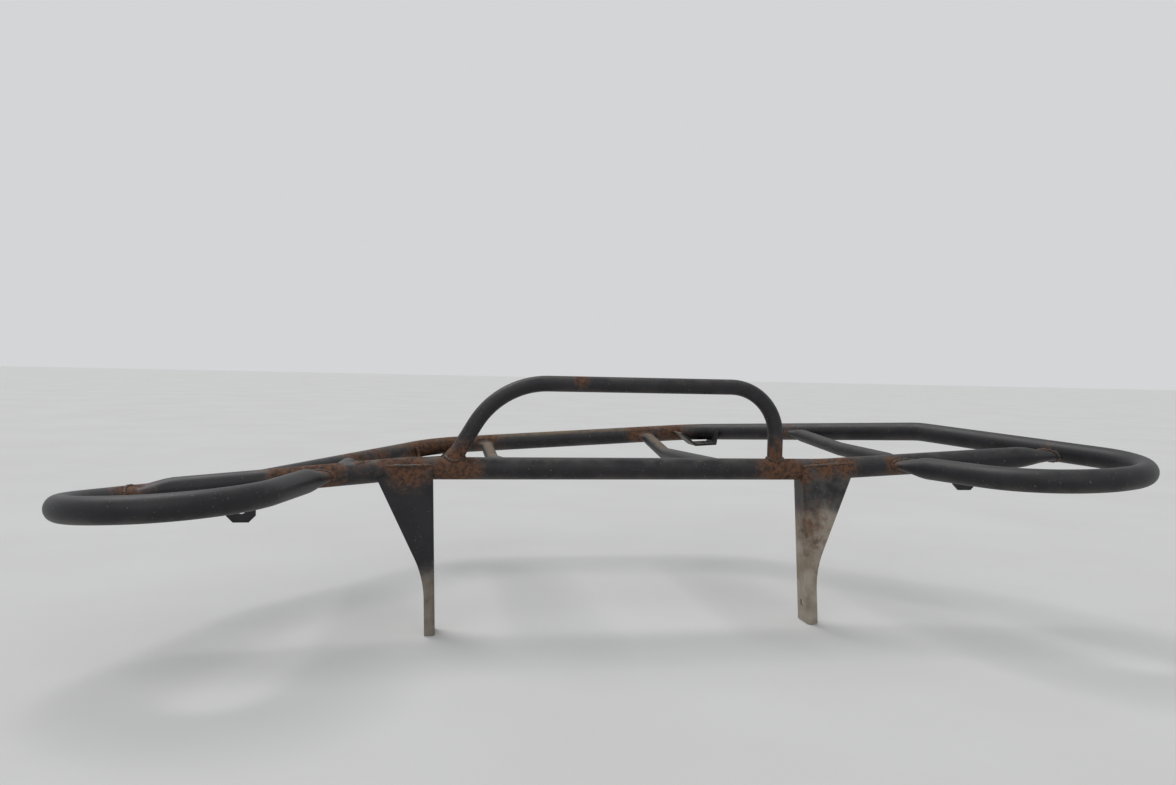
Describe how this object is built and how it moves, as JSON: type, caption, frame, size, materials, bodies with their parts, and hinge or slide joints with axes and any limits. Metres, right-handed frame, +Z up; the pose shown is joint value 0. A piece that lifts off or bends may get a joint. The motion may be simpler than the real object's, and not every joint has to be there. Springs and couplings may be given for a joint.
{
  "type": "atv front rack",
  "caption": "Welded steel tube luggage rack for the front of a quad bike, with a grab hoop, two wings, crossbars, two drilled legs and rear brackets.",
  "frame": {"origin": "under the middle of the rack's box, on the plane of the two feet", "axes": "+X along the front rail to the right as seen from the front, +Y towards the rear, +Z up with the rack level as it is fixed"},
  "size_m": [1.0057, 0.5717, 0.2554],
  "materials": {
    "painted_tube": "worn satin black paint with rust at the welds",
    "painted_sheet": "worn satin black paint, dusty towards the feet"
  },
  "bodies": {
    "root": {"outer_loop_tube": "painted_tube", "front_rail_tube": "painted_tube", "grab_hoop_tube": "painted_tube", "left_inner_crossbar": "painted_tube", "left_outer_crossbar": "painted_tube", "left_leg_bracket": "painted_sheet", "left_rear_bracket": "painted_sheet", "left_rail_tab": "painted_sheet", "right_inner_crossbar": "painted_tube", "right_outer_crossbar": "painted_tube", "right_leg_bracket": "painted_sheet", "right_rear_bracket": "painted_sheet", "right_rail_tab": "painted_sheet"}
  },
  "joints": []
}
